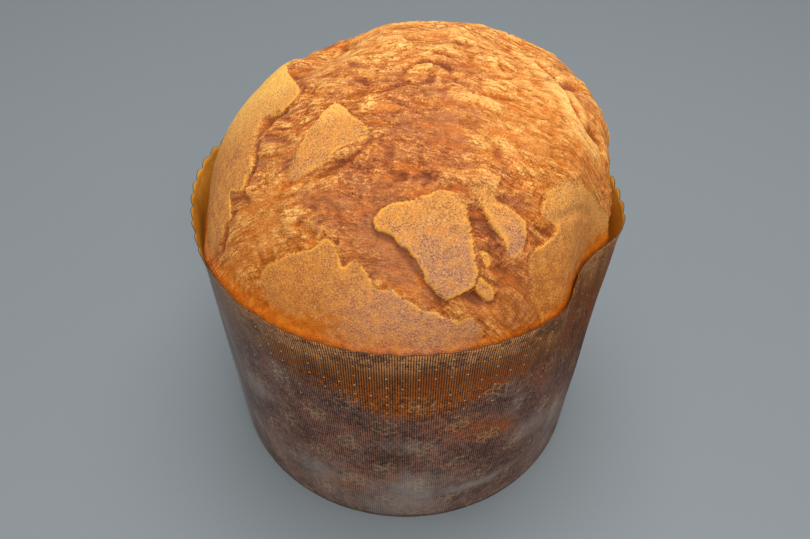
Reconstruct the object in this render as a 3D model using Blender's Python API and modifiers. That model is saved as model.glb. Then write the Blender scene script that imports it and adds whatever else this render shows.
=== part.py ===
"""A panettone in its paper baking case: one loaf with a torn, browned dome, and the cup it was baked in.

Metres, +Z up. The case stands on z = 0 with its axis on Z, and the side that is usually seen faces -Y.
"""

import math

import bpy
from mathutils import Vector, noise

# Paper case: a mould for a 750 g loaf, slightly wider at the rim, pushed in at one place
CASE_HEIGHT = 0.110
RIM_RADIUS = 0.077
BASE_RADIUS = 0.0747
PAPER = 0.0005
BASE_EDGE = 0.0010  # rounding between wall and base
SCALLOPS = 66
SCALLOP_DEPTH = 0.0012
SCALLOP_BAND = 0.0030  # height of the strip that the scallops are cut in
CASE_STEPS = 3 * SCALLOPS
WALL_LEVELS = (0.80, 0.60, 0.38)  # rings between the scallops and the base, as parts of the height

DENT_AZIMUTH = math.radians(-32)
DENT_HALF_WIDTH = math.radians(21)
DENT_DEPTH = 0.092  # part of the radius, at the rim
DENT_FOOT = 0.35  # the dent has died out at this part of the case height

# Loaf: it fills the case, and its dome leans a little towards +X
PAPER_GAP = 0.0004
SHOULDER_HEIGHT = 0.104
SHOULDER_DROP = 0.0030  # the loaf leaves the paper this far below its shoulder
DOME_RADIUS = 0.0735
DOME_HEIGHT = 0.0604
DOME_POWER = 2.1  # 2 is an ellipse, higher is squarer
DOME_LEAN = Vector((0.0100, 0.0027, 0))
DOME_OVAL = (2, 0.028, math.radians(23))  # lobes, part of the radius, azimuth of the first lobe
DOME_TREFOIL = (3, 0.030, math.radians(52))
DOME_RINGS = 28
LOAF_STEPS = CASE_STEPS // 2

# The torn crumb between the plates is uneven
CRUMB_LUMPS = 0.0008
CRUMB_LUMP_SIZE = 0.011

# Plateaus (+) and hollows (-) of the crust. Their places are on the dome's map, which has the top at
# (0, 0) and the shoulder at radius 1: place, half length, half width, turn in degrees, height.
CRUST_RELIEF = {
    "front_plate": ((-0.22, -0.81), 0.36, 0.17, -25, 0.0014),
    "middle_plate": ((0.04, -0.63), 0.19, 0.13, -55, 0.0018),
    "upper_left_plate": ((-0.29, -0.29), 0.17, 0.10, 35, 0.0012),
    "left_plate": ((-0.68, -0.10), 0.40, 0.16, 57, 0.0014),
    "right_centre_plate": ((0.21, -0.53), 0.13, 0.08, -35, 0.0010),
    "right_plate": ((0.58, -0.54), 0.30, 0.17, 20, 0.0012),
    "rear_left_plate": ((-0.25, 0.66), 0.28, 0.16, 20, 0.0013),
    "rear_right_plate": ((0.48, 0.58), 0.26, 0.15, -40, 0.0013),
    "fold_ridge": ((0.53, -0.05), 0.24, 0.07, -50, 0.0022),
    "upper_pocket": ((0.40, -0.01), 0.09, 0.06, -30, -0.0022),
    "side_pocket": ((0.60, -0.17), 0.10, 0.06, -40, -0.0022),
    "front_furrow": ((-0.04, -0.71), 0.22, 0.06, -45, -0.0020),
    "right_furrow": ((0.25, -0.65), 0.18, 0.06, -50, -0.0016),
    "left_hollow": ((-0.46, -0.09), 0.09, 0.07, 0, -0.0018),
    "rear_furrow": ((0.10, 0.50), 0.30, 0.07, 30, -0.0018),
}

BREAD_COLOUR = (0.60, 0.26, 0.08, 1)
PAPER_COLOUR = (0.13, 0.075, 0.045, 1)


def clear_scene():
    for obj in list(bpy.data.objects):
        bpy.data.objects.remove(obj, do_unlink=True)


def make_material(name, colour, roughness):
    material = bpy.data.materials.new(name)
    material.use_nodes = True
    shader = material.node_tree.nodes["Principled BSDF"]
    shader.inputs["Base Color"].default_value = colour
    shader.inputs["Roughness"].default_value = roughness
    shader.inputs["Metallic"].default_value = 0
    material.diffuse_color = colour
    return material


def smoothstep(low, high, value):
    x = min(max((value - low) / (high - low), 0), 1)
    return x * x * (3 - 2 * x)


def dent_factor(azimuth, height):
    """What the radius is multiplied by where the case is pushed in."""
    off = math.remainder(azimuth - DENT_AZIMUTH, 2 * math.pi) / DENT_HALF_WIDTH
    if abs(off) >= 1:
        return 1
    depth = DENT_DEPTH * smoothstep(DENT_FOOT * CASE_HEIGHT, CASE_HEIGHT, height)
    return 1 - depth * 0.5 * (1 + math.cos(math.pi * off))


def wall_radius(height):
    return BASE_RADIUS + (RIM_RADIUS - BASE_RADIUS) * height / CASE_HEIGHT


def turned(name, profile, steps, collection, material):
    """A profile of (radius, height), from top to bottom on the outer side, turned round Z into a mesh."""
    mesh = bpy.data.meshes.new(name + "_profile")
    edges = [(i, i + 1) for i in range(len(profile) - 1)]
    mesh.from_pydata([(radius, 0, height) for radius, height in profile], edges, [])
    obj = bpy.data.objects.new(name, mesh)
    collection.objects.link(obj)
    screw = obj.modifiers.new("turn", "SCREW")
    screw.steps = screw.render_steps = steps
    screw.use_merge_vertices = True
    screw.merge_threshold = 0.00001
    bpy.context.view_layer.update()
    turned_mesh = bpy.data.meshes.new_from_object(obj.evaluated_get(bpy.context.evaluated_depsgraph_get()))
    turned_mesh.name = name
    obj.modifiers.clear()
    obj.data = turned_mesh
    bpy.data.meshes.remove(mesh)
    turned_mesh.materials.append(material)
    return obj


def reshape(obj, move):
    """Moves each vertex that is off the axis by move(azimuth, radius, height) -> (radius, height)."""
    for vertex in obj.data.vertices:
        azimuth = math.atan2(vertex.co.y, vertex.co.x)
        radius, height = move(azimuth, math.hypot(vertex.co.x, vertex.co.y), vertex.co.z)
        vertex.co = (radius * math.cos(azimuth), radius * math.sin(azimuth), height)


def case_profile():
    levels = [CASE_HEIGHT, CASE_HEIGHT - SCALLOP_BAND] + [CASE_HEIGHT * part for part in WALL_LEVELS]
    wall = [(wall_radius(height), height) for height in levels + [BASE_EDGE]]
    return wall + [(BASE_RADIUS - BASE_EDGE, 0), (0, 0)]


def shape_case(azimuth, radius, height):
    """Cuts the scallops into the rim and pushes the dent in."""
    radius *= dent_factor(azimuth, height)
    if height > CASE_HEIGHT - SCALLOP_BAND / 2:
        height -= SCALLOP_DEPTH * (1 - abs(math.cos(azimuth * SCALLOPS / 2)))
    return radius, height


def make_case(collection):
    material = make_material("case_paper", PAPER_COLOUR, 0.35)
    case = turned("paper_case", case_profile(), CASE_STEPS, collection, material)
    reshape(case, shape_case)
    paper = case.modifiers.new("paper", "SOLIDIFY")
    paper.thickness = PAPER
    paper.offset = -1
    return case


def dome_angle(part):
    """The ellipse angle at a part of the way from the shoulder (0) to the top (1)."""
    return part * math.pi / 2


def dome_point(part, azimuth):
    """The bare dome's surface, without its crust relief."""
    angle = dome_angle(part)
    radius = DOME_RADIUS * math.cos(angle) ** (2 / DOME_POWER)
    rise = math.sin(angle) ** (2 / DOME_POWER)
    for lobes, amount, first in (DOME_OVAL, DOME_TREFOIL):
        radius *= 1 + amount * math.sin(2 * angle) * math.cos(lobes * (azimuth - first))
    height = SHOULDER_HEIGHT + DOME_HEIGHT * rise
    radius *= 1 - (1 - dent_factor(azimuth, CASE_HEIGHT)) * (1 - smoothstep(0, 0.45, part))
    around = Vector((math.cos(azimuth), math.sin(azimuth), 0))
    return radius * around + DOME_LEAN * rise + Vector((0, 0, height))


def crust_relief(part, azimuth):
    """How far the crust stands out at a place on the dome."""
    across = (1 - part) * math.cos(azimuth)
    along = (1 - part) * math.sin(azimuth)
    total = 0
    for (x, y), half_length, half_width, turn, height in CRUST_RELIEF.values():
        cosine, sine = math.cos(math.radians(turn)), math.sin(math.radians(turn))
        dx, dy = across - x, along - y
        reach = math.hypot((dx * cosine + dy * sine) / half_length, (dy * cosine - dx * sine) / half_width)
        total += height * (1 - smoothstep(0.7, 1.0, reach))
    lumps = noise.noise(dome_point(part, azimuth) / CRUMB_LUMP_SIZE)
    return (total + CRUMB_LUMPS * lumps) * smoothstep(0, 0.06, part)


def loaf_profile():
    """Top to bottom: the dome's rings, then the sides inside the case, then the flat bottom."""
    dome = []
    for ring in range(DOME_RINGS):
        angle = dome_angle(1 - ring / (DOME_RINGS - 1))
        radius = DOME_RADIUS * max(math.cos(angle), 0) ** (2 / DOME_POWER)
        dome.append((radius, SHOULDER_HEIGHT + DOME_HEIGHT * math.sin(angle) ** (2 / DOME_POWER)))
    dome[0] = (0, dome[0][1])
    inset = PAPER + PAPER_GAP
    levels = [SHOULDER_HEIGHT - SHOULDER_DROP] + [CASE_HEIGHT * part for part in WALL_LEVELS] + [inset + BASE_EDGE]
    sides = [(wall_radius(height) - inset, height) for height in levels]
    return dome + sides + [(BASE_RADIUS - BASE_EDGE - inset, inset), (0, inset)]


def make_loaf(collection):
    material = make_material("crust", BREAD_COLOUR, 0.7)
    loaf = turned("bread", loaf_profile(), LOAF_STEPS, collection, material)
    hub = Vector((0, 0, SHOULDER_HEIGHT))
    for vertex in loaf.data.vertices:
        azimuth = math.atan2(vertex.co.y, vertex.co.x)
        rise = (vertex.co.z - SHOULDER_HEIGHT) / DOME_HEIGHT
        if rise < -0.0001:
            factor = dent_factor(azimuth, vertex.co.z)
            vertex.co.x *= factor
            vertex.co.y *= factor
            continue
        part = math.asin(min(max(rise, 0), 1) ** (DOME_POWER / 2)) / (math.pi / 2)
        point = dome_point(part, azimuth)
        vertex.co = point + (point - hub).normalized() * crust_relief(part, azimuth)
    return loaf


def main():
    clear_scene()
    collection = bpy.data.collections.new("panettone")
    bpy.context.scene.collection.children.link(collection)
    for obj in (make_case(collection), make_loaf(collection)):
        obj.data.shade_smooth()
        obj.data.set_sharp_from_angle(angle=math.radians(40))


main()
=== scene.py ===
import math

import bpy
import numpy as np
from mathutils import Euler, Matrix, Vector, noise


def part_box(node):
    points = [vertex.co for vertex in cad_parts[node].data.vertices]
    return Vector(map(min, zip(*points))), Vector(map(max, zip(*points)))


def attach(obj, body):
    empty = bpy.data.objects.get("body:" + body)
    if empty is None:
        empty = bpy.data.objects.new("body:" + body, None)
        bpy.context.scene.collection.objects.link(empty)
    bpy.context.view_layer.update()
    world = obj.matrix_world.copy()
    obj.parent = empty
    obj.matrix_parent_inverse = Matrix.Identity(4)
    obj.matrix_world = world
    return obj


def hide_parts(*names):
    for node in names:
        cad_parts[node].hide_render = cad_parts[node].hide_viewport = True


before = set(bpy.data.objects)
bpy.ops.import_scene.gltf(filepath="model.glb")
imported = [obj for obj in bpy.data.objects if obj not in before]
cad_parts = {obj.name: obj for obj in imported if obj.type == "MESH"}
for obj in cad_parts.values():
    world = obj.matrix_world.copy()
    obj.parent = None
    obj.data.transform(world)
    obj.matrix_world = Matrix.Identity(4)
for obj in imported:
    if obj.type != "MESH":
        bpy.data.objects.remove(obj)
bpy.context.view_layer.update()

mm = 0.001
breadLow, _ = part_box("bread")
caseLow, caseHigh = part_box("paper_case")
rimRadius = (caseHigh.x - caseLow.x) / 2
caseHeight = caseHigh.z


def smooth(low, high, value):
    x = np.clip((value - low) / (high - low), 0, 1)
    return x * x * (3 - 2 * x)


def grain(places, size=1, seed=0):  # smooth noise from -1 to 1 at rows of x, y, z
    return np.fromiter(map(noise.noise, (places / size + seed).tolist()), float, len(places))


def grains(places, layers, start=0):  # layers of noise added up: amount, size, seed
    return sum((amount * grain(places, size, seed) for amount, size, seed in layers), start)


def columns(*values):
    size = max(np.size(value) for value in values)
    return np.stack([np.broadcast_to(value, size) for value in values], 1)


def degreesFrom(azimuth, centre):  # signed difference of two azimuths, the first in radians
    return np.degrees(np.remainder(azimuth - math.radians(centre) + math.pi, 2 * math.pi) - math.pi)


def pushedIn(azimuth, height):  # what a radius is multiplied by at the dent in the case
    off = np.clip(degreesFrom(azimuth, case["dentAzimuth"]) / case["dentHalfWidth"], -1, 1)
    depth = case["dentDepth"] * smooth(case["dentFoot"] * caseHeight, caseHeight, height)
    return 1 - depth * 0.5 * (1 + np.cos(math.pi * off))


def placesOf(obj):
    places = np.empty(len(obj.data.vertices) * 3)
    obj.data.vertices.foreach_get("co", places)
    return places.reshape(-1, 3)


def normalsOf(obj):
    normals = np.empty(len(obj.data.vertices) * 3)
    obj.data.vertices.foreach_get("normal", normals)
    return normals.reshape(-1, 3)


def moveTo(obj, places):
    obj.data.vertices.foreach_set("co", places.ravel())
    obj.data.update()


def paint(obj, name, values):  # one number on each vertex, for the materials
    layer = obj.data.attributes.new(name, "FLOAT", "POINT")
    layer.data.foreach_set("value", values.astype(np.float32))


def addNamed(operator, name, **settings):
    bpy.ops.object.select_all(action="DESELECT")
    operator(**settings)
    obj = bpy.context.object
    obj.name = obj.data.name = name
    return obj


def mode(name):
    bpy.ops.object.mode_set(mode=name)


def selectEdges(obj, wanted):  # in edit mode, edges whose two ends fit
    bpy.ops.mesh.select_mode(type="EDGE")
    bpy.ops.mesh.select_all(action="DESELECT")
    mode("OBJECT")
    for edge in obj.data.edges:
        first, second = (obj.data.vertices[i].co for i in edge.vertices)
        edge.select = wanted(first, second)
    mode("EDIT")


class Wire:  # a socket of a material, so that sums on it are written as sums
    def __init__(self, recipe, socket):
        self.recipe, self.socket = recipe, socket

    def sum(self, operation, first, second):
        return self.recipe.maths(operation, first, second)

    def __add__(self, other):
        return self.sum("ADD", self, other)

    def __sub__(self, other):
        return self.sum("SUBTRACT", self, other)

    def __rsub__(self, other):
        return self.sum("SUBTRACT", other, self)

    def __mul__(self, other):
        return self.sum("MULTIPLY", self, other)

    def __truediv__(self, other):
        return self.sum("DIVIDE", self, other)

    __radd__ = __add__


class Recipe:  # a material and its nodes
    def __init__(self, name):
        self.material = bpy.data.materials.new(name)
        self.material.use_nodes = True
        self.tree = self.material.node_tree
        self.shader = self.tree.nodes["Principled BSDF"]

    def fill(self, socket, value):
        if isinstance(value, Wire):
            self.tree.links.new(value.socket, socket)
        else:
            socket.default_value = value

    def node(self, kind, settings, sockets, output=0):
        node = self.tree.nodes.new(kind)
        for key, value in settings.items():
            if key == "stops":
                ramp = node.color_ramp.elements
                while len(ramp) < len(value):
                    ramp.new(1)
                for element, (place, colour) in zip(ramp, value):
                    element.position, element.color = place, (*colour, 1)
            else:
                setattr(node, key, value)
        for key, value in sockets.items():
            self.fill(node.inputs[key], value)
        return Wire(self, node.outputs[output])

    def surface(self, **sockets):  # the Principled shader's own sockets, by name with _ for a space
        for key, value in sockets.items():
            self.fill(self.shader.inputs[key.replace("_", " ")], value)
        return self.material

    def maths(self, operation, *values):
        return self.node("ShaderNodeMath", dict(operation=operation), dict(enumerate(values)))

    def painted(self, name):
        return self.node("ShaderNodeAttribute", dict(attribute_name=name), {}, "Fac")

    def object(self):
        return self.node("ShaderNodeTexCoord", {}, {}, "Object")

    def part(self, vector, axis):
        return self.node("ShaderNodeSeparateXYZ", {}, {0: vector}, axis)

    def blur(self, place, size, detail=2, rough=0.5):  # noise from 0 to 1, size in metres
        sockets = {"Vector": place, "Scale": 1 / size, "Detail": detail, "Roughness": rough}
        return self.node("ShaderNodeTexNoise", {}, sockets, "Fac")

    def between(self, low, high, value):  # 0 below low, 1 above high
        sockets = {"Value": value, "From Min": low, "From Max": high}
        return self.node("ShaderNodeMapRange", dict(interpolation_type="SMOOTHSTEP"), sockets)

    def blend(self, first, second, factor):
        colours = [value if isinstance(value, Wire) else (*value, 1) for value in (first, second)]
        settings = dict(data_type="RGBA")
        return self.node("ShaderNodeMix", settings, {0: factor, 6: colours[0], 7: colours[1]}, 2)

    def wave(self, turns):  # cosine of a number of whole turns
        return self.maths("COSINE", turns * (2 * math.pi))

    def bump(self, height, strength, distance, below=None):
        sockets = {"Height": height, "Strength": strength, "Distance": distance}
        if below:
            sockets["Normal"] = below
        return self.node("ShaderNodeBump", {}, sockets)


view = dict(
    lens=32.27,
    place=(0.00185, -0.2091, 0.2797),
    down=45.5,  # degrees below the horizon
    turn=0.63,
    roll=0.5,
)


def makeCamera():
    camera = bpy.data.objects.new("camera", bpy.data.cameras.new("camera"))
    camera.data.lens = view["lens"]
    camera.data.clip_start = 0.01
    aim = Euler((math.radians(90 - view["down"]), 0, math.radians(view["turn"]))).to_matrix()
    aim = aim @ Matrix.Rotation(math.radians(view["roll"]), 3, "Z")
    camera.matrix_world = Matrix.Translation(view["place"]) @ aim.to_4x4()
    bpy.context.scene.collection.objects.link(camera)
    bpy.context.scene.camera = camera


studio = dict(
    floorSize=6.0,
    floorColour=(0.19, 0.214, 0.23),
    world=(0.93, 0.96, 1.0),
    worldStrength=0.46,
    # name: place, width and height, watts, colour
    lamps={
        "overhead": ((0.05, 0.12, 0.95), (0.7, 0.7), 7.0, (1.0, 0.98, 0.95)),
        "front": ((0.15, -0.8, 0.8), (0.6, 0.6), 5.6, (1.0, 0.98, 0.95)),
        "leftWindow": ((-1.15, -0.05, 0.45), (0.25, 0.8), 0.7, (1.0, 1.0, 1.0)),
        "rightWindow": ((1.15, -0.25, 0.45), (0.25, 0.8), 0.5, (1.0, 1.0, 1.0)),
    },
)


def makeStudio():
    floor = addNamed(bpy.ops.mesh.primitive_plane_add, "floor", size=studio["floorSize"])
    recipe = Recipe("floorPaint")
    floor.data.materials.append(recipe.surface(Base_Color=(*studio["floorColour"], 1), Roughness=0.6))
    world = bpy.data.worlds.new("studio")
    bpy.context.scene.world = world
    world.use_nodes = True
    background = world.node_tree.nodes["Background"]
    background.inputs["Color"].default_value = (*studio["world"], 1)
    background.inputs["Strength"].default_value = studio["worldStrength"]
    for name, (place, (width, height), watts, colour) in studio["lamps"].items():
        lamp = bpy.data.objects.new(name, bpy.data.lights.new(name, "AREA"))
        lamp.data.shape, lamp.data.size, lamp.data.size_y = "RECTANGLE", width, height
        lamp.data.energy, lamp.data.color = watts, colour
        lamp.location = place
        towards = Vector((0, 0, caseHeight)) - lamp.location
        lamp.rotation_euler = towards.to_track_quat("-Z", "Y").to_euler()
        bpy.context.scene.collection.objects.link(lamp)
    bpy.context.scene.view_settings.view_transform = "Standard"


# Places on the dome are given on its map: the top is (0, 0) and the shoulder has radius 1.
loaf = dict(
    cells=300,
    shoulder=0.104,
    radius=0.0735,
    height=0.0604,
    power=2.1,
    lean=(0.01, 0.0027),
    lobes=((2, 0.028, 23), (3, 0.03, 52)),  # how many, part of the radius, azimuth of the first
    seat=2.9,  # mm that the front swells out to touch the paper
    seatSpan=(-166, -8),  # azimuths between which it does
    seatFade=12,  # degrees over which it dies out
    settle=1.4,  # mm that the whole crust lies under the bare dome
    tuck=4,  # mm from the shoulder down to where the sides begin
    waist=0.35,  # part of the case's height with a ring of points
    skirtInset=0.0016,
    # where the crumb is smoother: place and half width
    quiet=(((-0.14, -0.62), 0.12), ((-0.5, -0.52), 0.2), ((0.0, -0.72), 0.12),
           ((0.4, -0.22), 0.24), ((0.15, -0.25), 0.12)),
    knot=((-0.625, -0.195), 0.026),  # a red-brown scar in the left piece of skin
    strandCentre=(-0.02, -0.125, 0.07),  # the torn strands run in arcs round this point
    strandTurn=0.105,  # m along a strand for each radian
    strandWarp=((0.0026, 0.015, 4),),
    plainEdges=((-84, 20, 0.8), (-153, 13, 0.85)),  # less orange there: azimuth, half width, amount
)

# The smooth pieces of skin that the rising dough left on its torn crumb: how far they stand out
# in mm, how pink and how orange they are, and their outline
skin = {
    "front": (0.4, 0.7, 0.35, [
        (-0.55, -0.63), (-0.45, -0.62), (-0.36, -0.615), (-0.3, -0.592), (-0.265, -0.63), (-0.25, -0.68),
        (-0.2, -0.68), (-0.13, -0.755), (-0.07, -0.765), (0.0, -0.81), (0.08, -0.83), (0.16, -0.845),
        (0.22, -0.83), (0.27, -0.885), (0.24, -0.94), (0.03, -1.02), (-0.14, -1.02), (-0.34, -0.98),
        (-0.48, -0.9), (-0.54, -0.8), (-0.56, -0.7)
    ]),
    "middle": (0.5, 0.62, -0.1, [
        (-0.155, -0.55), (-0.12, -0.52), (-0.06, -0.505), (0.01, -0.477), (0.05, -0.473), (0.1, -0.49),
        (0.1, -0.52), (0.14, -0.61), (0.175, -0.69), (0.18, -0.745), (0.12, -0.78), (0.1, -0.79),
        (0.03, -0.74), (-0.025, -0.675), (-0.08, -0.63), (-0.1, -0.61), (-0.145, -0.59)
    ]),
    "upperLeft": (0.45, 0.25, 0.1, [
        (-0.41, -0.37), (-0.4, -0.315), (-0.34, -0.235), (-0.3, -0.185), (-0.265, -0.168),
        (-0.235, -0.21), (-0.2, -0.255), (-0.175, -0.29), (-0.19, -0.317), (-0.24, -0.33), (-0.3, -0.367),
        (-0.35, -0.383), (-0.4, -0.39)
    ]),
    "left": (0.5, -0.05, 0.45, [
        (-0.436, 0.2), (-0.434, 0.08), (-0.4, 0.01), (-0.376, -0.06), (-0.385, -0.1), (-0.44, -0.115),
        (-0.5, -0.1), (-0.527, -0.18), (-0.545, -0.27), (-0.6, -0.34), (-0.655, -0.31), (-0.665, -0.39),
        (-0.71, -0.415), (-0.77, -0.456), (-0.85, -0.466), (-0.94, -0.4), (-1.0, -0.2), (-1.02, 0.05),
        (-0.95, 0.24), (-0.88, 0.27), (-0.86, 0.38), (-0.76, 0.33), (-0.7, 0.42), (-0.61, 0.34),
        (-0.54, 0.38), (-0.5, 0.28)
    ]),
    "rightCentre": (0.25, 0.45, -0.1, [
        (0.11, -0.465), (0.13, -0.448), (0.16, -0.447), (0.2, -0.49), (0.25, -0.51), (0.3, -0.53),
        (0.32, -0.58), (0.295, -0.637), (0.26, -0.62), (0.22, -0.58), (0.165, -0.53), (0.12, -0.485)
    ]),
    "right": (0.25, 0.3, 1.0, [
        (0.365, -0.42), (0.43, -0.37), (0.55, -0.35), (0.69, -0.33), (0.85, -0.28), (0.97, -0.3),
        (0.93, -0.44), (0.8, -0.64), (0.68, -0.78), (0.6, -0.84), (0.544, -0.8), (0.48, -0.77),
        (0.42, -0.74), (0.39, -0.69), (0.37, -0.655), (0.355, -0.613), (0.385, -0.59), (0.43, -0.54),
        (0.42, -0.514), (0.367, -0.509), (0.345, -0.48), (0.35, -0.45)
    ]),
    "lowIsland": (0.3, 0.2, 0.3, [
        (0.197, -0.715), (0.23, -0.73), (0.265, -0.75), (0.265, -0.776), (0.224, -0.762), (0.194, -0.746)
    ]),
    "smallIsland": (0.2, 0.0, 0.2, [(0.178, -0.638), (0.209, -0.642), (0.228, -0.669), (0.206, -0.677)]),
    "rearLeft": (0.5, 0.5, 0.1, [
        (-0.47, 0.5), (-0.4, 0.46), (-0.33, 0.48), (-0.27, 0.42), (-0.2, 0.46), (-0.12, 0.44),
        (-0.05, 0.5), (-0.08, 0.57), (-0.01, 0.63), (-0.11, 0.67), (-0.12, 0.77), (-0.22, 0.73),
        (-0.3, 0.81), (-0.38, 0.75), (-0.41, 0.66), (-0.51, 0.62)
    ]),
    "rearRight": (0.5, 0.2, 0.3, [
        (0.28, 0.46), (0.36, 0.39), (0.42, 0.43), (0.5, 0.35), (0.6, 0.41), (0.62, 0.5), (0.73, 0.52),
        (0.7, 0.62), (0.61, 0.65), (0.6, 0.77), (0.5, 0.71), (0.44, 0.77), (0.39, 0.66), (0.32, 0.65),
        (0.35, 0.55)
    ]),
    "rearLow": (0.5, 0.6, 0.3, [
        (0.00, 0.82), (0.06, 0.75), (0.13, 0.8), (0.2, 0.72), (0.29, 0.78), (0.36, 0.8), (0.45, 0.88),
        (0.42, 0.99), (0.22, 1.02), (0.02, 1.02), (-0.06, 0.93)
    ]),
    "farRight": (0.4, 0.1, 0.7, [
        (0.77, 0.1), (0.83, 0.02), (0.9, 0.06), (0.96, -0.05), (1.02, 0.05), (1.00, 0.28), (0.94, 0.43),
        (0.86, 0.37), (0.8, 0.45), (0.73, 0.34), (0.79, 0.25), (0.7, 0.18)
    ]),
}

# Where the skin's edge fades into the crumb: place and half width on the map
softEdges = [((-0.56, -0.74), 0.1), ((0.45, -0.38), 0.1), ((0.45, -0.72), 0.08), ((0.25, -0.9), 0.08),
             ((0.1, -0.48), 0.04), ((0.15, -0.45), 0.06), ((0.7, -0.33), 0.14), ((-0.8, -0.46), 0.1),
             ((-0.41, -0.33), 0.06), ((0.85, 0.2), 0.15), ((-0.4, 0.75), 0.12), ((0.6, 0.7), 0.12)]

# Relief of the skin and its edge in mm. Noise is given as amount, size in m and seed.
skinForm = dict(
    wander=((1.1, 0.0065, 0), (0.8, 0.0026, 3)),  # moves the edge in and out
    edge=(0.45, 2.2),  # half width of the edge, and what a faded one has more
    lip=(0.12, 0.5, 0.8),  # amount, mm inside the edge, half width
    crevice=(-0.25, -0.7, 0.5),
    waves=((0.3, 0.016, 11), (0.14, 0.004, 12)),
)

# Relief of the torn crumb in mm. Noise that is stretched along the strands is given as amount,
# length and width in m, and seed.
crumbForm = dict(
    # flakes that the tearing left standing: length and width in m, height in mm, level of the noise
    flakes=((0.026, 0.0085, 0.3, 0.05), (0.016, 0.005, 0.24, 0.1), (0.01, 0.0033, 0.18, 0.0),
            (0.006, 0.002, 0.12, 0.1)),
    flakeEdge=0.06,
    ragged=((0.22, 0.0026, 31), (0.12, 0.0016, 37)),
    lumps=((0.7, 0.02, 5), (0.2, 0.0085, 9)),
    bend=((0.0016, 0.0075, 61),),  # moves the folds sideways, in m
    folds=((1.5, 0.013, 0.0062, 2.3), (0.9, 0.006, 0.0034, 4.3)),
    pebbles=(0.4, 0.0026, 71),
    crease=(0.6, 0.013, 0.0055, 3.1),
    creaseWidth=0.035,
    strands=(0.1, 0.012, 0.0026, 7.7),
    finest=((0.08, 0.0016, 47),),
)

# Furrows (-) and ridges (+) of the torn crumb: half width and height in mm, then the line
tears = {
    "frontFurrow": (2.6, -0.4, [
        (-0.33, -0.575), (-0.24, -0.58), (-0.15, -0.59), (-0.095, -0.635), (-0.03, -0.695),
        (0.035, -0.76), (0.1, -0.805), (0.15, -0.79)
    ]),
    "rightStreak": (3.2, -0.8, [
        (0.115, -0.5), (0.15, -0.56), (0.19, -0.62), (0.235, -0.67), (0.29, -0.71)
    ]),
    "lowPit": (1.5, -1.5, [(0.185, -0.77), (0.225, -0.79)]),
    "leftHollow": (2.4, -2.2, [(-0.42, -0.1), (-0.47, -0.12), (-0.51, -0.15)]),
    "leftEdge": (1.3, -0.9, [(-0.52, -0.16), (-0.54, -0.25), (-0.57, -0.32)]),
    "notch": (1.2, -0.7, [(0.33, -0.545), (0.37, -0.555), (0.41, -0.535)]),
    "foldValley": (2.0, -2.8, [(0.375, 0.008), (0.41, 0.012), (0.46, 0.034)]),
    "foldLine": (1.6, -2.8, [
        (0.31, 0.14), (0.33, 0.1), (0.352, 0.05), (0.378, 0.0), (0.408, -0.051), (0.442, -0.108),
        (0.486, -0.15), (0.53, -0.152)
    ]),
    "foldPocket": (3.2, -3.0, [(0.52, -0.14), (0.57, -0.135), (0.62, -0.16)]),
    "foldRidge": (7.0, 1.4, [
        (0.3, 0.12), (0.333, 0.03), (0.368, -0.03), (0.415, -0.115), (0.47, -0.175), (0.522, -0.185),
        (0.58, -0.18), (0.64, -0.24)
    ]),
    "topCrack": (0.9, -0.9, [(0.1, 0.08), (0.135, 0.055), (0.165, 0.04)]),
    "topLedge": (1.0, -0.9, [
        (-0.1, -0.08), (-0.066, -0.048), (-0.024, -0.038), (0.012, -0.05), (0.034, -0.1), (0.04, -0.13)
    ]),
    "midCrack": (1.1, -0.7, [(0.06, -0.156), (0.116, -0.159), (0.172, -0.163), (0.23, -0.154)]),
    "upperLine": (1.3, -0.8, [(0.212, 0.183), (0.265, 0.09), (0.31, 0.06)]),
    "ledge": (1.8, -0.9, [(-0.13, -0.41), (-0.08, -0.44), (0.02, -0.435)]),
    "blotch": (3.0, -0.9, [(0.07, -0.26), (0.1, -0.255)]),
    "rightPit": (1.5, -0.8, [(0.16, -0.312), (0.17, -0.36)]),
    "leftLow": (1.6, -1.4, [(-0.7, -0.43), (-0.77, -0.48)]),
    "underMiddle": (0.8, -0.8, [
        (-0.16, -0.565), (-0.15, -0.6), (-0.095, -0.625), (-0.035, -0.69), (0.025, -0.752), (0.09, -0.8)
    ]),
    "underUpperLeft": (1.1, -1.1, [(-0.34, -0.405), (-0.28, -0.39), (-0.17, -0.335)]),
    "rearFurrow": (3.4, -1.2, [(-0.15, 0.42), (0.0, 0.48), (0.15, 0.56), (0.3, 0.68)]),
    "rearRidge": (4.0, 1.2, [(-0.35, 0.32), (-0.15, 0.3), (0.05, 0.2)]),
    "plateStep": (1.7, -3.2, [
        (0.41, -0.506), (0.446, -0.481), (0.488, -0.461), (0.53, -0.441), (0.588, -0.418), (0.69, -0.395)
    ]),
    "sideFurrow": (3.6, -0.9, [(0.72, 0.05), (0.66, 0.2), (0.6, 0.34)]),
}

# Broad swells (+) and sags (-): place, half width and height in mm
swells = {
    "leftCorner": ((-0.43, 0.13), 11, 3.0),
    "leftSag": ((-0.32, 0.15), 13, -4.6),
    "rightSag": ((0.24, 0.14), 15, -4.4),
    "rightHip": ((0.92, -0.06), 16, -1.6),
    "rightLobe": ((0.6, 0.02), 18, 1.5),
    "centreSag": ((0.1, -0.3), 14, -1.0),
}

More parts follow.
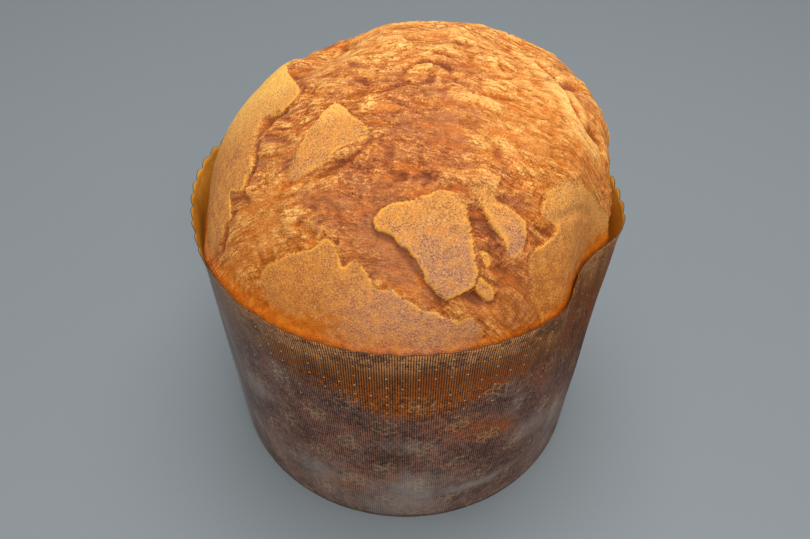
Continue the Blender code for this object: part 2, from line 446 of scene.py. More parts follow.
# Where the crumb is redder (+) or yellower (-): place, half width on the map, amount
tints = {
    "centre": ((-0.08, -0.36), 0.26, 1.1),
    "upperLeft": ((-0.35, -0.1), 0.24, 0.3),
    "topMiddle": ((0.02, -0.12), 0.2, 0.3),
    "streak": ((0.24, -0.66), 0.12, 1.4),
    "furrow": ((-0.14, -0.62), 0.11, 0.7),
    "leftFlank": ((-0.52, -0.52), 0.16, -0.9),
    "rightTop": ((0.37, -0.1), 0.24, -1.5),
    "rightMiddle": ((0.2, -0.22), 0.15, -0.7),
    "farRight": ((0.62, -0.24), 0.18, -1.5),
    "topEdge": ((-0.2, 0.12), 0.16, -0.9),
    "beyondFold": ((0.5, -0.06), 0.1, 1.4),
    "slot": ((0.41, 0.015), 0.04, 1.8),
    "besideUpperLeft": ((-0.19, -0.2), 0.05, -1.6),
    "rearLeft": ((-0.3, 0.6), 0.3, 0.6),
    "rearRight": ((0.45, 0.5), 0.25, -0.5),
}

# Where the skin is pinker and more orange (+): place, half width on the map, pink, orange
blushes = {
    "lowFront": ((0.08, -0.92), 0.25, 0.6, -0.5),
    # painted highlight: the skin at the top left is made yellower where light falls on it
    "topLeftHighlight": ((-0.5, 0.15), 0.24, -0.6, -0.3),
    "frontLeft": ((-0.42, -0.82), 0.2, 0.0, 0.9),
    "rightUpper": ((0.46, -0.46), 0.1, 0.0, -0.5),
    "rightLow": ((0.5, -0.7), 0.12, 0.0, 0.6),
}

# Where the torn crumb is paler (+) or darker (-): place, half width on the map, amount
shades = {
    "centre": ((-0.1, -0.28), 0.2, -0.25),
    "left": ((-0.38, -0.47), 0.14, 0.22),
    "right": ((0.31, -0.35), 0.13, -0.3),
    "top": ((-0.05, -0.02), 0.14, -0.15),
}


def domePlaces(spot):  # rows of map places to rows of x, y, z on the bare dome
    reach = np.minimum(np.hypot(spot[:, 0], spot[:, 1]), 1)
    azimuth = np.arctan2(spot[:, 1], spot[:, 0])
    angle = (1 - reach) * math.pi / 2
    radius = loaf["radius"] * np.cos(angle).clip(0) ** (2 / loaf["power"])
    rise = np.sin(angle) ** (2 / loaf["power"])
    for count, amount, first in loaf["lobes"]:
        radius = radius * (1 + amount * np.sin(2 * angle) * np.cos(count * (azimuth - math.radians(first))))
    first, last = loaf["seatSpan"]
    middle, half = (first + last) / 2, (last - first) / 2
    seated = smooth(half, half - loaf["seatFade"], np.abs(degreesFrom(azimuth, middle)))
    radius = radius + loaf["seat"] * mm * seated * (1 - smooth(0, 0.3, 1 - reach))
    dent = 1 - pushedIn(azimuth, caseHeight)
    radius = radius * (1 - dent * (1 - smooth(0, 0.45, 1 - reach)))
    across = radius * np.cos(azimuth) + loaf["lean"][0] * rise
    along = radius * np.sin(azimuth) + loaf["lean"][1] * rise
    return np.stack([across, along, loaf["shoulder"] + loaf["height"] * rise], 1)


def discFromSquare(spot):  # even cells, with no pole
    x, y = spot[:, 0], spot[:, 1]
    wide = np.abs(x) > np.abs(y)
    radius = np.where(wide, x, y)
    ratio = np.divide(np.where(wide, y, x), radius, out=np.zeros_like(x), where=radius != 0)
    turn = ratio * math.pi / 4
    return np.stack([radius * np.where(wide, np.cos(turn), np.sin(turn)),
                     radius * np.where(wide, np.sin(turn), np.cos(turn))], 1)


def curveThrough(points, closed, steps=6):  # smooth line through a few places
    points = np.array(points, float)
    count = len(points)
    out = []
    for i in range(count if closed else count - 1):
        ids = [(i + k) % count if closed else min(max(i + k, 0), count - 1) for k in (-1, 0, 1, 2)]
        a, b, c, d = points[ids]
        t = np.linspace(0, 1, steps, endpoint=False)[:, None]
        out.append(0.5 * (2 * b + (c - a) * t + (2 * a - 5 * b + 4 * c - d) * t ** 2
                          + (3 * b - a - 3 * c + d) * t ** 3))
    return np.concatenate(out if closed else out + [points[-1:]])


def distanceTo(line, places):
    best = np.full(len(places), np.inf)
    for point in line:
        best = np.minimum(best, ((places - point) ** 2).sum(1))
    return np.sqrt(best)


def groove(points, width, places):  # 1 along a line through map places, dying out to its sides and ends
    line = domePlaces(curveThrough(points, False, 10))
    middle = line.mean(axis=0)
    span = np.linalg.norm(line - middle, axis=1).max() + 3 * width * mm
    near = np.linalg.norm(places - middle, axis=1) < span
    wide = width * mm * (1 + 0.35 * grain(places[near], 0.005, 8))
    depth = np.zeros(near.sum())
    for place, part in zip(line, np.linspace(-1, 1, len(line))):
        off = np.linalg.norm(places[near] - place, axis=1) / wide
        depth = np.maximum(depth, (1 - part ** 4) * np.exp(-off ** 2))
    total = np.zeros(len(places))
    total[near] = depth
    return total


def inside(outline, spot):
    odd = np.zeros(len(spot), bool)
    x, y = spot[:, 0], spot[:, 1]
    for (x1, y1), (x2, y2) in zip(outline, np.roll(outline, -1, 0)):
        if y1 != y2:
            odd ^= ((y1 > y) != (y2 > y)) & (x < x1 + (y - y1) * (x2 - x1) / (y2 - y1))
    return odd


def skinReach(spot, places):  # mm inside (+) or outside (-) the nearest piece of skin, its lift and colours
    reach = np.full(len(spot), -30.0)
    lift, pink, orange = np.zeros((3, len(spot)))
    for height, blush, glow, points in skin.values():
        outline = curveThrough(points, True)
        half = np.abs(outline - outline.mean(0)).max(0) + 0.12
        ids = np.flatnonzero((np.abs(spot - outline.mean(0)) < half).all(1))
        off = distanceTo(domePlaces(outline), places[ids]) / mm
        off = np.where(inside(outline, spot[ids]), off, -off)
        better = off > reach[ids]
        ids, off = ids[better], off[better]
        # painted light: yellower at the upper end, which faces up, and pinker and more orange towards its
        # lower end
        up = (spot[ids, 1] - outline[:, 1].mean()) / np.ptp(outline[:, 1])
        reach[ids], lift[ids], pink[ids], orange[ids] = off, height, blush - 1.3 * up, glow * (0.6 - up)
    return reach, lift, pink, orange


def bumpsAt(places, spots):  # sum of round bumps: place, half width, amount
    total = np.zeros(len(places))
    for place, width, amount in spots:
        total += amount * np.exp(-((places - place) ** 2).sum(1) / width ** 2)
    return total


def soften(values, cells):  # evens a field out over the loaf's grid
    side = loaf["cells"] + 1
    field = values.reshape(side, side)
    kernel = np.ones(2 * cells + 1) / (2 * cells + 1)
    for axis in (0, 1, 0, 1):
        edges = [(cells, cells) if axis == i else (0, 0) for i in (0, 1)]
        field = np.apply_along_axis(np.convolve, axis, np.pad(field, edges, mode="edge"), kernel, "valid")
    return field.ravel()


def alongStrands(along, across, length, width, seed):
    return grain(columns(along / length, across / width, seed))


def crumbRelief(places, along, across):  # mm, in all and of the flakes alone
    ragged = grains(places, crumbForm["ragged"])
    edge = crumbForm["flakeEdge"]
    layers = np.zeros(len(places))
    for length, width, height, level in crumbForm["flakes"]:
        field = alongStrands(along, across, length, width, height * 7) + ragged
        layers += height * smooth(level - edge, level + edge, field)
    total = grains(places, crumbForm["lumps"], 0.9 * layers)
    bent = grains(places, crumbForm["bend"], across)
    for amount, *shape in crumbForm["folds"]:
        total += amount * np.abs(alongStrands(along, bent, *shape))
    amount, size, seed = crumbForm["pebbles"]
    total += amount * np.abs(grain(places, size, seed))
    amount, *shape = crumbForm["crease"]
    crease = alongStrands(along, across, *shape) + 0.5 * ragged
    creased = smooth(-0.1, 0.3, grain(places, 0.016, 43))
    total -= amount * np.exp(-(crease / crumbForm["creaseWidth"]) ** 2) * creased
    amount, *shape = crumbForm["strands"]
    strands = 1 - 2 * np.abs(alongStrands(along, across, *shape))
    return grains(places, crumbForm["finest"], total + amount * strands), layers


def makeLoaf():
    bread = addNamed(bpy.ops.mesh.primitive_grid_add, "loaf", size=2,
                     x_subdivisions=loaf["cells"], y_subdivisions=loaf["cells"])
    spot = discFromSquare(placesOf(bread)[:, :2])
    base = domePlaces(spot)
    moveTo(bread, base)
    out = normalsOf(bread)

    reach, lift, pink, orange = skinReach(spot, base)
    reach = grains(base, skinForm["wander"], reach)
    faded = bumpsAt(spot, [(place, width, 1) for place, width in softEdges]).clip(0, 1)
    faded = np.maximum(faded, smooth(0.1, 0.5, grain(base, 0.022, 17)) * 0.6)
    sharp, fading = skinForm["edge"]
    wide = sharp + fading * faded
    covered = smooth(-wide, wide, reach)

    along, across = strandPlaces(base)
    crumb, layers = crumbRelief(base, along, across)
    crumb -= crumb.mean()
    torn = np.zeros(len(spot))
    for width, height, points in tears.values():
        torn += height * groove(points, width, base)
    swell = bumpsAt(base, [(domePlaces(np.array([place], float)), width * mm, height)
                           for place, width, height in swells.values()])

    lip, crevice = (amount * np.exp(-((reach - centre) / width) ** 2) * (1 - faded)
                    for amount, centre, width in (skinForm["lip"], skinForm["crevice"]))
    plate = grains(base, skinForm["waves"], lift * (1 - 0.6 * faded)) + lip
    ridge = groove(tears["foldRidge"][2], 5.0, base)
    quiet = bumpsAt(spot, [(place, width, 1) for place, width in loaf["quiet"]])
    quiet = 0.4 * ridge + 0.5 * quiet.clip(0, 1)
    rough = crumb * (1 - quiet) * (0.6 + 0.7 * smooth(-0.3, 0.3, grain(base, 0.012, 81))) + crevice
    calm = smooth(0, 0.06, 1 - np.hypot(spot[:, 0], spot[:, 1]))  # next to the paper
    fine = covered * (plate + torn * 0.25) + (1 - covered) * (rough + torn)
    moveTo(bread, base + out * (((fine - loaf["settle"]) * calm + swell) * mm)[:, None])

    # what the crust's material reads
    paint(bread, "edge", np.clip(reach / wide, -9, 9))
    # painted highlight just inside the skin's edge
    paint(bread, "rim", smooth(1.5, 0.4, reach) * (1 - faded).clip(0, 1))
    # painted shade and highlight: darker in the crumb's hollows, paler on its bumps and along the fold's
    # ridge, with the shades table's paler and darker places added
    hollow = (fine - soften(fine, 2)).clip(-0.5, 0.12) * 2.6
    hollow = hollow + (fine - soften(fine, 9)).clip(-1.2, 0.6) * 0.7
    paint(bread, "hollow", hollow + 0.5 * ridge + bumpsAt(spot, shades.values()))
    paint(bread, "quiet", quiet.clip(0, 1))
    knot = bumpsAt(spot, [(*loaf["knot"], 1)]) * (1 + 1.2 * grain(base, 0.003))
    pinker = bumpsAt(spot, [(place, width, more) for place, width, more, _ in blushes.values()])
    paint(bread, "pink", pink + 1.4 * knot + pinker)
    warmer = bumpsAt(spot, [(place, width, more) for place, width, _, more in blushes.values()])
    paint(bread, "orange", orange + 0.8 * knot + warmer)
    # redder or yellower crumb; along the fold's ridge it is yellower, partly as a painted highlight
    red = 0.6 - 0.5 * layers + 0.6 * bumpsAt(spot, tints.values())
    paint(bread, "red", np.clip(red - 1.6 * ridge + 0.35 * grain(base, 0.016, 15), 0, 1))
    azimuth = np.arctan2(base[:, 1], base[:, 0])
    fringe = 1
    for centre, width, amount in loaf["plainEdges"]:
        fringe = fringe - amount * np.exp(-(degreesFrom(azimuth, centre) / width) ** 2)
    paint(bread, "fringe", fringe)
    paint(bread, "along", along)
    paint(bread, "across", across)
    closeLoaf(bread)
    bread.data.shade_smooth()
    bread.data.materials.append(crustMaterial())
    return bread


def strandPlaces(places):  # along and across the torn strands, in metres
    off = places - np.array(loaf["strandCentre"])
    across = np.linalg.norm(off, axis=1) + grains(places, loaf["strandWarp"])
    return np.arctan2(off[:, 0], off[:, 1]) * loaf["strandTurn"], across


def closeLoaf(bread):  # runs the dome's edge down inside the paper and closes it underneath
    mode("EDIT")
    bpy.ops.mesh.select_mode(type="EDGE")
    bpy.ops.mesh.select_all(action="SELECT")
    bpy.ops.mesh.region_to_loop()
    for _ in range(3):
        bpy.ops.mesh.extrude_region_move()
    bpy.ops.mesh.edge_face_add()
    mode("OBJECT")
    places = placesOf(bread)
    dome = (loaf["cells"] + 1) ** 2
    ring = 4 * loaf["cells"]
    azimuth = np.arctan2(places[:, 1], places[:, 0])
    levels = (loaf["shoulder"] - loaf["tuck"] * mm, loaf["waist"] * caseHeight, breadLow.z)
    for level, height in enumerate(levels):
        ids = np.arange(dome + level * ring, dome + (level + 1) * ring)
        radius = (wallRadius(height) - loaf["skirtInset"]) * pushedIn(azimuth[ids], height)
        places[ids] = columns(radius * np.cos(azimuth[ids]), radius * np.sin(azimuth[ids]), height)
    moveTo(bread, places)


# Colours of the crust and sizes of its grain in m
crust = dict(
    golden=[(0.0, (0.3, 0.07, 0.006)), (0.25, (0.49, 0.14, 0.014)), (0.5, (0.62, 0.226, 0.043)),
            (0.75, (0.79, 0.382, 0.098)), (1.0, (0.92, 0.55, 0.165))],
    rusty=[(0.0, (0.19, 0.044, 0.01)), (0.25, (0.32, 0.083, 0.017)), (0.5, (0.42, 0.124, 0.03)),
           (0.75, (0.58, 0.203, 0.046)), (1.0, (0.8, 0.37, 0.095))],
    ember=(0.62, 0.15, 0.012),
    ash=(0.34, 0.12, 0.048),
    crackShade=(0.25, 0.062, 0.009),
    calm=(0.53, 0.205, 0.082),
    yellow=(0.88, 0.5, 0.105),
    tan=(0.55, 0.222, 0.05),
    pink=(0.455, 0.196, 0.1),
    orange=(0.38, 0.112, 0.012),
    honey=(0.66, 0.24, 0.03),
    pale=(0.86, 0.49, 0.17),
    pore=(0.29, 0.08, 0.014),
    rim=(0.88, 0.38, 0.05),
    low=(0.53, 0.145, 0.012),
    fringe=((0.5, 0.105, 0.002), (0.62, 0.185, 0.004)),
    fibreSize=0.0009,
    fibreStretch=0.28,  # makes the grain long, along the strands
    crumbSize=0.0006,
    fleckSize=0.003,
    patchSize=0.01,
    tuftSize=0.0065,
    emberSize=0.0042,
    wrinkleSize=0.0024,
    poreSize=0.00063,
    fringeSpan=(0.115, 0.108),  # m above the table between which the orange fringe grows
)


def crustMaterial():
    recipe = Recipe("crust")
    blend, between, blur, painted = recipe.blend, recipe.between, recipe.blur, recipe.painted
    place = recipe.object()
    height = recipe.part(place, 2)
    edge, hollow = painted("edge"), painted("hollow")
    red, pink = painted("red"), painted("pink")
    along = painted("along") * crust["fibreStretch"]
    strand = recipe.node("ShaderNodeCombineXYZ", {}, {0: along, 1: painted("across"), 2: 0.0})
    fibre = blur(strand, crust["fibreSize"], 3, 0.7)
    crumbs = blur(place, crust["crumbSize"], 2, 0.7)
    flecks = blur(place, crust["fleckSize"], 3, 0.6)
    patches = blur(place, crust["patchSize"], 3, 0.55)

    skinned = between(-0.7, 0.7, edge + (crumbs - 0.5) * 2.4)

    # torn crumb: painted shade makes it dark red-brown in the hollows and painted light makes it paler
    # towards the top; golden on the strands
    level = hollow * 0.32 + 0.44 + between(0.135, 0.165, height) * 0.16
    busy = between(0.38, 0.62, blur(strand, crust["tuftSize"])) * 0.6 + 0.7
    loud = 1 - painted("quiet") * 0.75
    level = level + busy * loud * ((fibre - 0.5) * 2.1 + (crumbs - 0.5) * 1.8)
    goldCrumb = recipe.node("ShaderNodeValToRGB", dict(stops=crust["golden"]), {0: level})
    rustCrumb = recipe.node("ShaderNodeValToRGB", dict(stops=crust["rusty"]), {0: level})
    rust = between(0.15, 0.85, red + (patches - 0.5) * 1.3 + (flecks - 0.5) * 0.9)
    crumb = blend(goldCrumb, rustCrumb, rust)
    embers = blur(strand, crust["emberSize"], 2, 0.6)
    crumb = blend(crumb, crust["ember"], between(0.5, 0.66, embers) * 0.45)
    crumb = blend(crumb, crust["ash"], between(0.5, 0.34, embers) * 0.4 * rust)

    # painted shade in thin cracks of the crumb
    wrinkle = recipe.maths("ABSOLUTE", blur(strand, crust["wrinkleSize"], 3, 0.6) - 0.5)
    crackShadeMask = between(0.03, 0.008, wrinkle + recipe.maths("MAXIMUM", (patches - 0.42) * 0.25, 0.0))
    crumb = blend(crumb, crust["crackShade"], crackShadeMask * 0.7)
    crumb = blend(crumb, crust["calm"], painted("quiet") * rust * 0.65)

    # smooth skin: painted light makes it yellow where it faces up and pinker lower down; fine dark pores,
    # and a painted highlight along its edge
    blush = pink + (patches - 0.5) * 0.6
    tan = blend(crust["yellow"], crust["tan"], between(-0.75, 0.15, blush))
    tan = blend(tan, crust["pink"], between(0.3, 1.1, blush))
    tan = blend(tan, crust["orange"], painted("orange") * 0.74)
    tan = blend(tan, crust["honey"], between(0.46, 0.64, flecks) * 0.55)
    cells = {"Vector": place, "Scale": 1 / crust["poreSize"]}
    spots = recipe.node("ShaderNodeTexVoronoi", {}, cells, "Distance")
    pores = between(0.5, 0.1, spots + (flecks - 0.5) * 0.8)
    tan = blend(tan, crust["pale"], between(0.46, 0.7, crumbs) * 0.5)
    tan = blend(tan, crust["pore"], pores * 0.82)
    # painted highlight along the skin's edge
    rim = painted("rim") * between(0.34, 0.5, flecks)
    tan = blend(tan, crust["rim"], rim * 0.75)
    colour = blend(crumb, tan, skinned)
    low = between(0.14, 0.112, height) * painted("fringe")
    colour = blend(colour, crust["low"], low * 0.3)

    # orange fringe where the crumb baked against the paper
    fringe = height + (patches - 0.5) * 0.03 + (flecks - 0.5) * 0.02
    fringe = between(*crust["fringeSpan"], fringe) * painted("fringe")
    glow = blend(*crust["fringe"], between(0.35, 0.65, flecks))
    colour = blend(colour, glow, fringe * 0.85)

    normal = recipe.bump(crumbs - pores * 0.5, 0.6, 0.0003)
    normal = recipe.bump(fibre * (1 - skinned), 1.0, 0.0007, normal)
    return recipe.surface(Base_Color=colour, Roughness=0.75 - fringe * 0.2, Specular_IOR_Level=0.2,
                          Normal=normal)


case = dict(
    scallops=66,
    stepsPerScallop=8,
    rows=44,
    baseRadius=0.0747,
    paper=0.0003,
    scallopDepth=1.3,  # mm
    fluteDepth=0.5,
    dentAzimuth=-32,
    dentHalfWidth=21,
    dentDepth=0.092,
    dentFoot=0.35,
    flange=0.9,  # the wall turns in under the base to this part of its radius
    pleats=0.12,  # mm that the turned-in part is gathered
    inset=0.15,  # mm that the wall stands inside the plain cone
    ribs=594,
    holePitch=0.95,  # mm between two rows of the open weave
    flare=1.0,  # mm that the rim bends outwards
    bulges=((-13, 12, 1.2), (168, 16, 1.8)),  # azimuth, half width and mm where it bends further
    uneven=(0.35, 7),  # how unlike the scallops are, and how fast that changes
    buckles=(0.35, 9, 0.045, 0),  # mm, waves across the case, m in height, seed
    ripples=(0.16, 24, 0.04, 5),
    dotColumns=94,
    dotPitch=4.9,
    firstDots=4.2,  # mm under the rim
    flowerColumns=19,
    flowerPitch=27.0,
    firstFlowers=29.0,
    petals=6,
    petalPlace=3.1,  # mm from the middle of a flower
    petalRadius=1.35,
    heartRadius=0.9,
    cutColour=(0.055, 0.026, 0.01, 1),  # the paper's cut edge
    baseSteps=132,
    baseGap=0.6,  # mm between the base and the wall
    baseHeight=0.55,
    baseInsets=(0.012, 0.003, 0.02, 0.02),
    baseRing=(0.25, 0.061, 0.003),  # mm, radius and half width of a raised ring
)

# Marks on the paper: azimuth, mm under the rim, half width in degrees, half height in mm, amount.
# They are stains of fat, milky patches that are partly paler paper and partly painted reflection, flanks
# with painted reflections and shadows in streaks, and painted shade that makes parts darker and duller.
fat = [(-100, 17, 22, 11, 1.1), (-80, 24, 12, 12, 1.0), (-92, 30, 9, 7, 0.8), (-118, 14, 10, 8, 0.5),
       (-60, 12, 12, 14, 0.9), (-44, 18, 14, 22, 0.7), (-24, 22, 14, 34, 1.2), (-76, 44, 8, 5, 0.4),
       (-98, 44, 10, 5, 0.4), (-97, 78, 9, 7, 0.65), (-108, 90, 9, 8, 0.6), (-66, 54, 12, 9, 0.6),
       (-118, 58, 8, 10, 0.4), (-76, 74, 6, 8, 0.4), (150, 25, 30, 14, 0.9), (70, 40, 26, 22, 0.8),
       (20, 20, 18, 12, 0.8), (110, 70, 20, 16, 0.5)]
haze = [(-90, 54, 10, 7, 0.5), (-89.5, 84, 13, 11, 0.6), (-92, 102, 18, 8, 0.5), (-91, 35, 7, 3.5, 0.7),
        (-107, 35, 8, 3.5, 0.6), (-68, 91, 12, 3, 0.8), (-122, 28, 5, 9, 0.5), (-134, 50, 7, 8, 0.7),
        (-130, 12, 14, 16, 0.3), (-117, 86, 9, 9, 0.6), (-62, 22, 3.5, 12, 0.7), (-58, 42, 5, 9, 0.6),
        (-50, 64, 7, 10, 0.5), (-36, 80, 10, 14, 0.5), (100, 60, 14, 14, 0.8), (20, 80, 16, 12, 0.8),
        (170, 60, 12, 30, 0.7), (50, 25, 10, 10, 0.6), (135, 95, 18, 8, 0.7)]
flanks = [(-160, 50, 20, 80, 0.9), (-4, 80, 9, 60, 0.4), (60, 60, 12, 60, 0.7), (120, 50, 16, 60, 0.6)]
deep = [(-46, 16, 14, 30, 0.65), (-26, 34, 14, 44, 0.75), (-60, 90, 12, 20, 0.3),
        (-100, 38, 10, 6, 0.3), (80, 20, 20, 20, 0.4)]


def wallRadius(height):
    return case["baseRadius"] + (rimRadius - case["baseRadius"]) * height / caseHeight


def marks(azimuth, below, spots):
    total = np.zeros(len(azimuth))
    for centre, depth, width, height, amount in spots:
        aside = (degreesFrom(azimuth, centre) / width) ** 2
        total += amount * np.exp(-aside - ((below - depth) / height) ** 2)
    return total


def makeCaseWall():
    steps = case["scallops"] * case["stepsPerScallop"]
    wall = addNamed(bpy.ops.mesh.primitive_cylinder_add, "caseWall", vertices=steps,
                    radius=case["baseRadius"], depth=caseHeight, location=(0, 0, caseHeight / 2),
                    end_fill_type="NOTHING")
    bpy.ops.object.transform_apply(location=True, rotation=False, scale=False)
    mode("EDIT")
    selectEdges(wall, lambda a, b: abs(a.z - b.z) > caseHeight / 2)
    bpy.ops.mesh.subdivide(number_cuts=case["rows"] - 1)
    selectEdges(wall, lambda a, b: max(a.z, b.z) < 0.1 * mm)
    bpy.ops.mesh.extrude_region_move()
    inner = case["flange"]
    bpy.ops.transform.resize(value=(inner, inner, 1), center_override=(0, 0, 0))
    mode("OBJECT")

    places = placesOf(wall)
    azimuth = np.arctan2(places[:, 1], places[:, 0])
    height = places[:, 2].copy()
    flange = np.hypot(places[:, 0], places[:, 1]) < case["baseRadius"] * 0.97
    radius = wallRadius(height) * pushedIn(azimuth, height)
    swell = sum(size * np.exp(-(degreesFrom(azimuth, centre) / width) ** 2)
                for centre, width, size in case["bulges"])
    swell = swell * smooth(0.4, 0.95, height / caseHeight)
    top = smooth(0.93 * caseHeight, caseHeight, height)
    lobe = np.abs(np.cos(azimuth * case["scallops"] / 2))
    around = columns(np.cos(azimuth), np.sin(azimuth), 0.0)
    amount, often = case["uneven"]
    uneven = 1 + amount * grain(around * often)
    flutes = case["fluteDepth"] * top ** 2 * (lobe - 0.9) * uneven
    foot = smooth(0, 0.12 * caseHeight, height)
    amount, often, tall, seed = case["buckles"]
    buckles = amount * grain(columns(around[:, 0] * often, around[:, 1] * often, height / tall), 1, seed)
    amount, often, tall, seed = case["ripples"]
    slanted = height / tall + azimuth
    ripples = amount * grain(columns(around[:, 0] * often, around[:, 1] * often, slanted), 1, seed)
    bend = flutes + (buckles + ripples) * foot + case["flare"] * top + swell - case["inset"]
    radius = radius + bend * mm
    notch = case["scallopDepth"] * mm * smooth(0.97 * caseHeight, caseHeight, height) * (1 - lobe) * uneven
    height = height - notch
    radius = np.where(flange, case["baseRadius"] * inner, radius)
    pleat = case["pleats"] * mm * (1 + np.cos(azimuth * case["scallops"])) * flange
    moveTo(wall, columns(radius * np.cos(azimuth), radius * np.sin(azimuth), height + pleat))

    below = (caseHeight - height) / mm
    paint(wall, "fat", marks(azimuth, below, fat))
    paint(wall, "haze", marks(azimuth, below, haze))
    paint(wall, "flank", marks(azimuth, below, flanks).clip(0, 1))
    paint(wall, "deep", marks(azimuth, below, deep).clip(0, 1))
    layUv(wall)
    wall.data.materials.append(wallPaper("casePaper", False))
    wall.data.materials.append(wallPaper("casePaperInside", True))
    wall.data.materials.append(Recipe("casePaperEdge").surface(Base_Color=case["cutColour"], Roughness=0.7))
    paper = wall.modifiers.new("paper", "SOLIDIFY")
    paper.thickness, paper.offset = case["paper"], -1
    paper.material_offset = 1
    paper.material_offset_rim = 2
    bpy.ops.object.modifier_apply(modifier=paper.name)
    wall.data.shade_smooth()
    return wall


def layUv(wall):  # once round from 0 to 1, and the height from 0 to 1
    for layer in list(wall.data.uv_layers):
        wall.data.uv_layers.remove(layer)
    layer = wall.data.uv_layers.new(name="around")
    places = placesOf(wall)
    for face in wall.data.polygons:
        middle = math.atan2(face.center.y, face.center.x)
        for loop in face.loop_indices:
            x, y, z = places[wall.data.loops[loop].vertex_index]
            turn = middle + math.remainder(math.atan2(y, x) - middle, 2 * math.pi)
            layer.data[loop].uv = (turn / (2 * math.pi) + 0.5, z / caseHeight)


def makeCaseBase():
    base = addNamed(bpy.ops.mesh.primitive_circle_add, "caseBase", vertices=case["baseSteps"],
                    radius=case["baseRadius"] - case["baseGap"] * mm,
                    location=(0, 0, case["baseHeight"] * mm), fill_type="NGON")
    bpy.ops.object.transform_apply(location=True, rotation=False, scale=False)
    mode("EDIT")
    bpy.ops.mesh.select_all(action="SELECT")
    for inset in case["baseInsets"]:
        bpy.ops.mesh.inset(thickness=inset)
    bpy.ops.mesh.select_all(action="SELECT")
    bpy.ops.mesh.normals_make_consistent(inside=False)
    mode("OBJECT")
    places = placesOf(base)
    radius = np.hypot(places[:, 0], places[:, 1])
    amount, centre, width = case["baseRing"]
    places[:, 2] += amount * mm * np.exp(-((radius - centre) / width) ** 2)
    moveTo(base, places)
    paper = base.modifiers.new("paper", "SOLIDIFY")
    paper.thickness, paper.offset = case["paper"], 1
    bpy.ops.object.modifier_apply(modifier=paper.name)
    base.data.materials.append(basePaper())
    return base


# Colours of the paper and sizes of its grain in m
sheet = dict(
    inside=((0.38, 0.17, 0.02), (0.6, 0.3, 0.04)),
    insideDotGlint=(0.9, 0.66, 0.3),
    through=(0.03, 0.013, 0.0, 1),  # the light that comes through the thin paper
    dark=((0.038, 0.015, 0.008), (0.044, 0.009, 0.002)),  # dry, and soaked with fat
    amber=((0.5, 0.145, 0.014), (0.36, 0.08, 0.003)),
    dry=(0.275, 0.124, 0.08),
    thread=((0.7, 0.29, 0.085), (0.44, 0.3, 0.155)),  # golden, and greenish where it is hazy
    oldThread=(0.22, 0.086, 0.024),
    hole=(0.02, 0.009, 0.004),
    milkySheen=(0.3, 0.262, 0.232),
    shine=(0.33, 0.305, 0.275),
    shadow=(0.035, 0.022, 0.016),
    greyReflection=(0.165, 0.165, 0.155),
    flower=(0.42, 0.3, 0.155),
    dotGlint=(0.85, 0.6, 0.3),
    deep=(0.032, 0.023, 0.018),
    patchSize=0.016,
    blotchSize=0.0026,
    streakSize=0.0048,
    streakStretch=(1, 1, 0.1),
    fineSize=0.0008,
    dotPatchSize=0.006,  # of the areas where the dots show
)


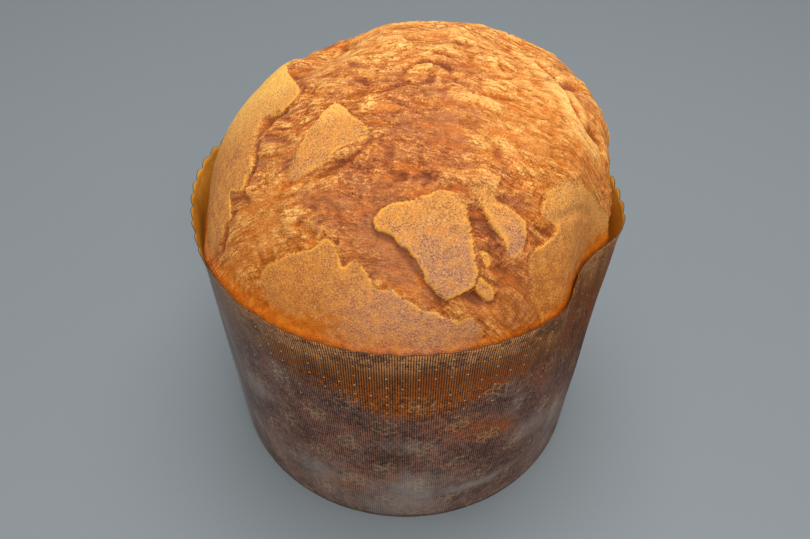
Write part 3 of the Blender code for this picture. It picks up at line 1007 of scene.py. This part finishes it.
def wallPaper(name, inner):
    recipe = Recipe(name)
    blend, between, blur, painted = recipe.blend, recipe.between, recipe.blur, recipe.painted
    uv = recipe.node("ShaderNodeUVMap", dict(uv_map="around"), {})
    place = recipe.object()
    around = recipe.part(uv, 0)
    below = (1 - recipe.part(uv, 1)) * (caseHeight / mm)  # mm under the rim
    patches = blur(place, sheet["patchSize"], 4, 0.6)
    rib = recipe.wave(around * case["ribs"]) * 0.5 + 0.5
    glintDots = pinDots(recipe, around, below)

    if inner:
        colour = blend(*sheet["inside"], between(0.3, 0.7, patches) + rib * 0.2)
        # painted light: pale glints in the pin holes
        colour = blend(colour, sheet["insideDotGlint"], glintDots * 0.5)
        return recipe.surface(Base_Color=colour, Roughness=0.5, Specular_IOR_Level=0.2,
                              Emission_Strength=1.0, Emission_Color=sheet["through"],
                              Normal=recipe.bump(rib, 0.25, 0.0002))

    # greaseproof brown paper with fine upright ribs, made warmer by the loaf's fat near the rim
    blotches = blur(place, sheet["blotchSize"], 3, 0.65)
    tall = recipe.node("ShaderNodeMapping", {}, {0: place, 3: sheet["streakStretch"]})
    streaks = blur(tall, sheet["streakSize"], 3, 0.55)
    fine = blur(place, sheet["fineSize"], 2, 0.6)
    hazeMark = painted("haze")
    warm = between(0.2, 0.95, painted("fat") + (patches - 0.5) * 1.3)
    dark = blend(*sheet["dark"], warm)
    amber = blend(*sheet["amber"], between(0.42, 0.66, patches))
    pale = blend(sheet["dry"], amber, warm)
    shade = rib * 0.55 + (fine - 0.5) * 1.5 + (blotches - 0.5) * 1.1 + (patches - 0.5) * 1.2 + 0.14
    colour = blend(dark, pale, between(0, 1, shade))

    # near the rim the weave is open: dark holes between golden threads, greenish on the hazy side
    flank = painted("flank")
    deep = painted("deep")
    plain = 1 - flank
    lace = between(27, 3, below + (streaks - 0.5) * 26 + warm * 8 - deep * 12) * plain
    thread = blend(*sheet["thread"], between(0.1, 0.6, hazeMark))
    worn = between(0.44, 0.6, blotches * 0.4 + patches * 0.6)
    thread = blend(thread, sheet["oldThread"], worn)
    rows = recipe.wave(below / case["holePitch"]) * 0.5 + 0.5
    hole = (1 - rib) * 0.8 + (1 - rows) * 0.5 + (blotches - 0.5) * 1.8 + (fine - 0.5) * 3.0
    hole = between(0.45, 0.9, hole) * between(32, 6, below) * plain
    colour = blend(colour, thread, lace * (rib * 0.7 + 0.3) * 0.95)
    colour = blend(colour, sheet["hole"], hole * 0.8)

    # milky where the greasy paper catches the light: partly paler paper, partly painted reflection; on the
    # flanks painted reflections and painted shadows run in long streaks
    hazy = (1 - warm * 0.6) * hazeMark * (0.5 + streaks) + between(30, 95, below) * 0.45
    hazy = hazy + flank * 0.3 + (patches - 0.5) * 0.8 + (blotches - 0.5) * 0.3
    hazy = between(0.2, 1.3, hazy)
    colour = blend(colour, sheet["milkySheen"], hazy * 0.6)
    # painted reflections and painted shadows in streaks on the flanks, over a grey painted reflection
    colour = blend(colour, sheet["shine"], between(0.38, 0.74, streaks) * flank * 0.6)
    colour = blend(colour, sheet["shadow"], between(0.54, 0.32, streaks) * flank * 0.5)
    colour = blend(colour, sheet["greyReflection"], flank * 0.25)

    # the print: flowers, worn in places; then rows of pin holes with painted glints
    bloom = flowers(recipe, around, below) * between(0.38, 0.58, blotches * 0.6 + patches * 0.4)
    colour = blend(colour, sheet["flower"], bloom * plain * 0.46)
    seen = blur(place, sheet["dotPatchSize"]) + between(45, 20, below) * 0.1
    seen = between(0.44, 0.64, seen)
    colour = blend(colour, sheet["dotGlint"], glintDots * seen * plain * 0.8)

    # painted shade: darker, duller paper, mostly in and beside the dent
    colour = blend(colour, sheet["deep"], deep * (0.58 - hazy * 0.3) * (1 - lace * 0.9))
    return recipe.surface(Base_Color=colour, Roughness=deep * 0.4 + 0.42, Specular_IOR_Level=0.14,
                          Coat_Weight=flank * 0.4, Coat_Roughness=0.3,
                          Normal=recipe.bump(rib + fine, 0.35, 0.0002))


def pinDots(recipe, around, below):  # small pin holes in rows, where pale glints are painted
    column = recipe.maths("FRACT", around * case["dotColumns"])
    row = recipe.maths("FRACT", (below - case["firstDots"]) / case["dotPitch"] + 0.5)
    across = (column - 0.5) * (2 * math.pi * rimRadius / mm / case["dotColumns"])
    rise = (row - 0.5) * case["dotPitch"]
    off = recipe.maths("SQRT", across * across + rise * rise)
    return recipe.between(0.38, 0.18, off) * recipe.between(2, 3, below) * recipe.between(46, 28, below)


def flowers(recipe, around, below):  # thin loops of petals, set like bricks
    pitch = 2 * math.pi * rimRadius / mm / case["flowerColumns"]
    found = None
    for shift in (0, 0.5):
        x = (recipe.maths("FRACT", around * case["flowerColumns"] + (0.5 + shift)) - 0.5) * pitch
        row = (below - case["firstFlowers"]) / case["flowerPitch"] + (0.5 + shift)
        y = (recipe.maths("FRACT", row) - 0.5) * case["flowerPitch"]
        radius = recipe.maths("SQRT", x * x + y * y)
        turn = recipe.maths("ARCTAN2", y, x) * (case["petals"] / (2 * math.pi))
        turn = (recipe.maths("FRACT", turn) - 0.5) * (2 * math.pi / case["petals"])
        off = radius * recipe.maths("COSINE", turn) - case["petalPlace"]
        aside = radius * recipe.maths("SINE", turn)
        petal = recipe.maths("SQRT", off * off * 0.7 + aside * aside)
        loops = recipe.maths("ABSOLUTE", petal - case["petalRadius"])
        heart = recipe.maths("ABSOLUTE", radius - case["heartRadius"])
        lines = recipe.between(0.36, 0.1, recipe.maths("MINIMUM", loops, heart))
        found = recipe.maths("MAXIMUM", found, lines) if found else lines
    return found * recipe.between(20, 26, below)


def basePaper():
    recipe = Recipe("basePaper")
    place = recipe.object()
    fine = recipe.blur(place, 0.0015, 3, 0.6)
    patches = recipe.blur(place, 0.02, 3, 0.5)
    colour = recipe.blend((0.075, 0.04, 0.026), (0.135, 0.075, 0.045), fine * 0.6 + patches * 0.4)
    return recipe.surface(Base_Color=colour, Roughness=0.5, Normal=recipe.bump(fine, 0.3, 0.0002))


makeCamera()
makeStudio()
print("studio ready")

bread = makeLoaf()
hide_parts("bread")
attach(bread, "root")
print("loaf ready", len(bread.data.vertices))

wall = makeCaseWall()
base = makeCaseBase()
for piece in (wall, base):
    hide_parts("paper_case")
    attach(piece, "root")
print("case ready", len(wall.data.vertices))
